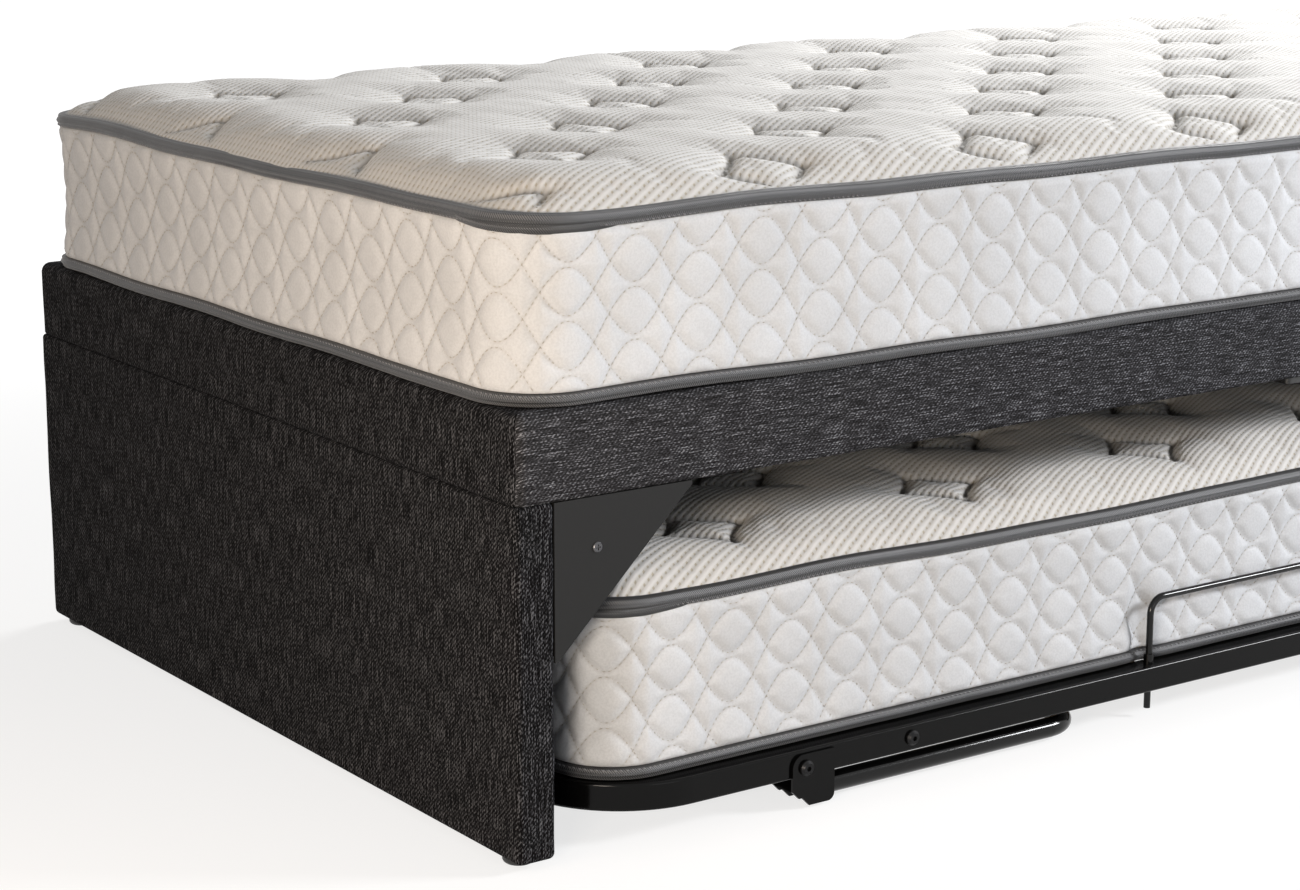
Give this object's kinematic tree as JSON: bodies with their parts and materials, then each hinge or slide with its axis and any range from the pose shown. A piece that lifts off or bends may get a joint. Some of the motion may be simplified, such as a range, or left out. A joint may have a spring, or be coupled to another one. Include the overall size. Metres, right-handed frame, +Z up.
{
  "type": "trundle bed",
  "caption": "Upholstered single bed base on end panels with a mattress, and a second mattress on a low steel frame that rolls out from under it and has fold-down legs.",
  "frame": {"origin": "on the floor under the middle of the bed", "axes": "+X along the bed towards the head end, +Y away from the side that the trundle rolls out of, +Z up"},
  "size_m": [1.89, 0.947, 0.5722],
  "materials": {
    "upholstery": "charcoal woven melange upholstery cloth",
    "timber": "plain softwood and board",
    "padding": "thin pad under the cover",
    "dust_cloth": "black non-woven dust cloth",
    "black_plastic": "moulded black plastic",
    "zinc_steel": "zinc plated",
    "grey_gusset": "satin dark grey powder coat",
    "black_fastener": "black oxide",
    "mattress_border": "ivory quilted border cloth",
    "mattress_ticking": "ivory knitted ticking",
    "binding_tape": "grey woven tape",
    "black_frame": "gloss black powder coat",
    "wheel_nylon": "nylon roller"
  },
  "bodies": {
    "bed_base": {"base_cover": "upholstery", "base_front_rail": "timber", "base_back_rail": "timber", "base_foot_rail": "timber", "base_head_rail": "timber", "base_centre_rail": "timber", "deck_slats": "timber", "deck_pad": "padding", "dust_cover": "dust_cloth", "underside_blocks": "black_plastic", "foot_panel_cover": "upholstery", "foot_panel_board": "timber", "head_panel_cover": "upholstery", "head_panel_board": "timber", "panel_bolts": "zinc_steel", "foot_panel_glides": "black_plastic", "head_panel_glides": "black_plastic", "gusset_foot_front": "grey_gusset", "gusset_foot_back": "grey_gusset", "gusset_head_front": "grey_gusset", "gusset_head_back": "grey_gusset", "corner_block_foot_front": "timber", "corner_block_foot_back": "timber", "corner_block_head_front": "timber", "corner_block_head_back": "timber", "gusset_screws": "black_fastener", "upper_mattress_bottom_panel": "mattress_ticking", "upper_mattress_border": "mattress_border", "upper_mattress_top_panel": "mattress_ticking", "upper_mattress_bottom_binding": "binding_tape", "upper_mattress_top_binding": "binding_tape"},
    "trundle": {"trundle_foot_bow": "black_frame", "trundle_head_bow": "black_frame", "trundle_front_rail": "black_frame", "trundle_back_rail": "black_frame", "rail_joiners": "black_frame", "cross_tube_foot": "black_frame", "cross_tube_head": "black_frame", "slat_ledges": "black_frame", "trundle_slats": "timber", "cross_tube_bolts": "black_fastener", "leg_pivot_bolts": "black_fastener", "leg_pivot_nuts": "black_fastener", "wheel_forks": "black_frame", "wheel_axles": "zinc_steel", "lower_mattress_bottom_panel": "mattress_ticking", "lower_mattress_border": "mattress_border", "lower_mattress_top_panel": "mattress_ticking", "lower_mattress_bottom_binding": "binding_tape", "lower_mattress_top_binding": "binding_tape"},
    "foot_leg": {"foot_leg_tube": "black_frame", "foot_leg_brackets": "black_frame"},
    "head_leg": {"head_leg_tube": "black_frame", "head_leg_brackets": "black_frame"},
    "front_retainer": {"front_retainer": "black_frame"},
    "back_retainer": {"back_retainer": "black_frame"},
    "wheel_foot_front": {"wheel_foot_front": "wheel_nylon"},
    "wheel_foot_back": {"wheel_foot_back": "wheel_nylon"},
    "wheel_head_front": {"wheel_head_front": "wheel_nylon"},
    "wheel_head_back": {"wheel_head_back": "wheel_nylon"}
  },
  "joints": [
    {"name": "trundle_slide", "type": "slide", "parent": "bed_base", "child": "trundle", "axis": [0, -1, 0], "range_m": [0, 1]},
    {"name": "foot_leg_fold", "type": "hinge", "parent": "trundle", "child": "foot_leg", "pos_m": [-0.652, 0, 0.0385], "axis": [0, 1, 0], "range_deg": [0, 90]},
    {"name": "head_leg_fold", "type": "hinge", "parent": "trundle", "child": "head_leg", "pos_m": [0.652, 0, 0.0385], "axis": [0, -1, 0], "range_deg": [0, 90]},
    {"name": "front_retainer_lift", "type": "slide", "parent": "trundle", "child": "front_retainer", "axis": [0, 0, 1], "range_m": [0, 0.045]},
    {"name": "back_retainer_lift", "type": "slide", "parent": "trundle", "child": "back_retainer", "axis": [0, 0, 1], "range_m": [0, 0.045]},
    {"name": "wheel_foot_front_spin", "type": "hinge", "parent": "trundle", "child": "wheel_foot_front", "pos_m": [-0.5035, -0.23, 0.019], "axis": [1, 0, 0], "continuous": true},
    {"name": "wheel_foot_back_spin", "type": "hinge", "parent": "trundle", "child": "wheel_foot_back", "pos_m": [-0.5035, 0.23, 0.019], "axis": [1, 0, 0], "continuous": true},
    {"name": "wheel_head_front_spin", "type": "hinge", "parent": "trundle", "child": "wheel_head_front", "pos_m": [0.5035, -0.23, 0.019], "axis": [1, 0, 0], "continuous": true},
    {"name": "wheel_head_back_spin", "type": "hinge", "parent": "trundle", "child": "wheel_head_back", "pos_m": [0.5035, 0.23, 0.019], "axis": [1, 0, 0], "continuous": true}
  ]
}
